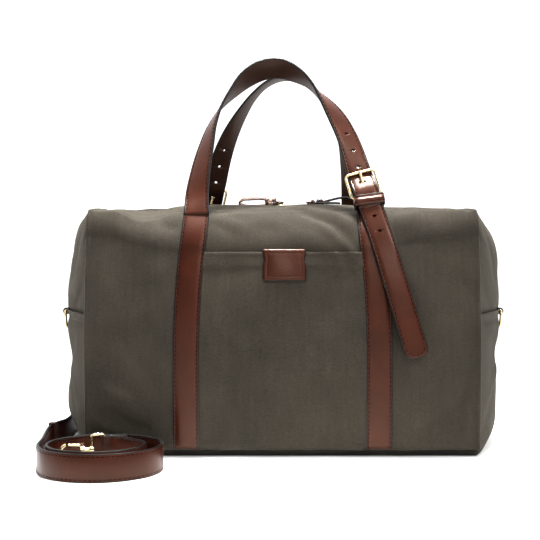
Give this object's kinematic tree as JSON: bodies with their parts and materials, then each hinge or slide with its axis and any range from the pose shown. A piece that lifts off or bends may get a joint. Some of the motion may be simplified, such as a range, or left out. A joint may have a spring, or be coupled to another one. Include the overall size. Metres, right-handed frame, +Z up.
{
  "type": "duffel bag",
  "caption": "Soft canvas travel duffel with sewn leather straps, two buckled carrying handles, a zipped top, end rings and a detached shoulder strap.",
  "frame": {"origin": "centre of the bag's base, on the floor", "axes": "+X along the bag to its right end, -Y out of the front, +Z up"},
  "size_m": [0.599, 0.4148, 0.4909],
  "materials": {
    "canvas": "waxed cotton canvas, matt",
    "lining": "plain cotton lining",
    "board": "matt stiffener board",
    "zip_tape": "woven tape",
    "zip_metal": "worn brass",
    "brass": "polished pale brass",
    "leather": "glossy grained leather with painted edges",
    "strap_leather": "glossy grained leather with painted edges",
    "lace": "flat leather thong"
  },
  "bodies": {
    "bag": {"back_anchor": "leather", "back_keeper": "leather", "back_panel": "canvas", "back_strap_left": "leather", "back_strap_passage": "leather", "back_strap_right": "leather", "base_board": "board", "bottom_panel": "canvas", "front_anchor": "leather", "front_keeper": "leather", "front_panel": "canvas", "front_pocket": "canvas", "front_strap_left": "leather", "front_strap_passage": "leather", "front_strap_right": "leather", "left_end_lower": "canvas", "left_end_upper": "canvas", "left_ring_tab": "leather", "lining": "lining", "pocket_label": "leather", "right_end_lower": "canvas", "right_end_upper": "canvas", "right_ring_tab": "leather", "zip_end_stops": "zip_metal", "zip_tape_back": "zip_tape", "zip_tape_front": "zip_tape", "zip_teeth": "zip_metal"},
    "front_handle": {"front_handle": "leather", "front_buckle": "brass"},
    "back_handle": {"back_handle": "leather", "back_buckle": "brass"},
    "front_prong": {"front_prong": "brass"},
    "back_prong": {"back_prong": "brass"},
    "front_tail": {"front_tail": "leather"},
    "back_tail": {"back_tail": "leather"},
    "left_slider": {"left_slider": "zip_metal"},
    "right_slider": {"right_slider": "zip_metal"},
    "left_pull": {"left_bail": "zip_metal", "left_lace": "lace", "left_knot": "lace"},
    "right_pull": {"right_bail": "zip_metal", "right_lace": "lace", "right_lace_low": "lace", "right_knot": "lace"},
    "left_d_ring": {"left_d_ring": "brass"},
    "right_d_ring": {"right_d_ring": "brass"},
    "shoulder_strap": {"shoulder_strap": "strap_leather", "shoulder_buckle": "brass", "shoulder_keeper": "strap_leather", "inner_ring": "brass", "outer_ring": "brass", "inner_eye": "brass", "outer_eye": "brass"},
    "shoulder_prong": {"shoulder_prong": "brass"},
    "inner_hook": {"inner_hook": "brass"},
    "outer_hook": {"outer_hook": "brass"},
    "inner_gate": {"inner_gate": "brass"},
    "outer_gate": {"outer_gate": "brass"}
  },
  "joints": [
    {"name": "front_handle_swing", "type": "hinge", "parent": "bag", "child": "front_handle", "pos_m": [0.102, -0.0905, 0.312], "axis": [0.9948, 0.0364, 0.0946], "range_deg": [-8, 50]},
    {"name": "front_prong_lift", "type": "hinge", "parent": "front_handle", "child": "front_prong", "pos_m": [0.102, -0.0905, 0.312], "axis": [0.9681, 0, 0.2504], "range_deg": [0, 4]},
    {"name": "front_tail_swing", "type": "hinge", "parent": "bag", "child": "front_tail", "pos_m": [0.10614, -0.10268, 0.29758], "axis": [-1, 0, 0], "range_deg": [0, 45]},
    {"name": "back_handle_swing", "type": "hinge", "parent": "bag", "child": "back_handle", "pos_m": [-0.102, 0.0905, 0.312], "axis": [-0.9948, -0.0364, 0.0946], "range_deg": [-8, 50]},
    {"name": "back_prong_lift", "type": "hinge", "parent": "back_handle", "child": "back_prong", "pos_m": [-0.102, 0.0905, 0.312], "axis": [-0.9681, 0, 0.2504], "range_deg": [0, 4]},
    {"name": "back_tail_swing", "type": "hinge", "parent": "bag", "child": "back_tail", "pos_m": [-0.10614, 0.10268, 0.29758], "axis": [1, 0, 0], "range_deg": [0, 45]},
    {"name": "left_slider_run", "type": "slide", "parent": "bag", "child": "left_slider", "axis": [-1, 0, 0], "range_m": [0, 0.188]},
    {"name": "left_pull_lift", "type": "hinge", "parent": "left_slider", "child": "left_pull", "pos_m": [0.007, 0, 0.307], "axis": [0, 1, 0], "range_deg": [0, 90]},
    {"name": "right_slider_run", "type": "slide", "parent": "bag", "child": "right_slider", "axis": [1, 0, 0], "range_m": [0, 0.188]},
    {"name": "right_pull_lift", "type": "hinge", "parent": "right_slider", "child": "right_pull", "pos_m": [0.029, 0, 0.307], "axis": [0, -1, 0], "range_deg": [0, 90]},
    {"name": "left_ring_swing", "type": "hinge", "parent": "bag", "child": "left_d_ring", "pos_m": [-0.2838, 0, 0.168], "axis": [0, 1, 0], "range_deg": [0, 140]},
    {"name": "right_ring_swing", "type": "hinge", "parent": "bag", "child": "right_d_ring", "pos_m": [0.2888, 0, 0.168], "axis": [0, -1, 0], "range_deg": [0, 140]},
    {"name": "shoulder_strap_away", "type": "slide", "parent": "bag", "child": "shoulder_strap", "axis": [-1, 0, 0], "range_m": [0, 0.25]},
    {"name": "shoulder_prong_lift", "type": "hinge", "parent": "shoulder_strap", "child": "shoulder_prong", "pos_m": [-0.28288, 0.02658, 0.0176], "axis": [0, 0, 1], "range_deg": [0, 40]},
    {"name": "inner_hook_swivel", "type": "hinge", "parent": "shoulder_strap", "child": "inner_hook", "pos_m": [-0.21848, -0.14342, 0.0176], "axis": [-0.9439, -0.3304, 0], "continuous": true},
    {"name": "inner_gate_open", "type": "hinge", "parent": "inner_hook", "child": "inner_gate", "pos_m": [-0.23122, -0.14788, 0.023], "axis": [0.3304, -0.9439, 0], "range_deg": [0, 25], "stiffness_Nm_per_rad": 0.02},
    {"name": "outer_hook_swivel", "type": "hinge", "parent": "shoulder_strap", "child": "outer_hook", "pos_m": [-0.29853, 0.1582, 0.0176], "axis": [-0.1544, 0.988, 0], "continuous": true},
    {"name": "outer_gate_open", "type": "hinge", "parent": "outer_hook", "child": "outer_gate", "pos_m": [-0.30062, 0.17154, 0.023], "axis": [-0.988, -0.1544, 0], "range_deg": [0, 25], "stiffness_Nm_per_rad": 0.02}
  ]
}
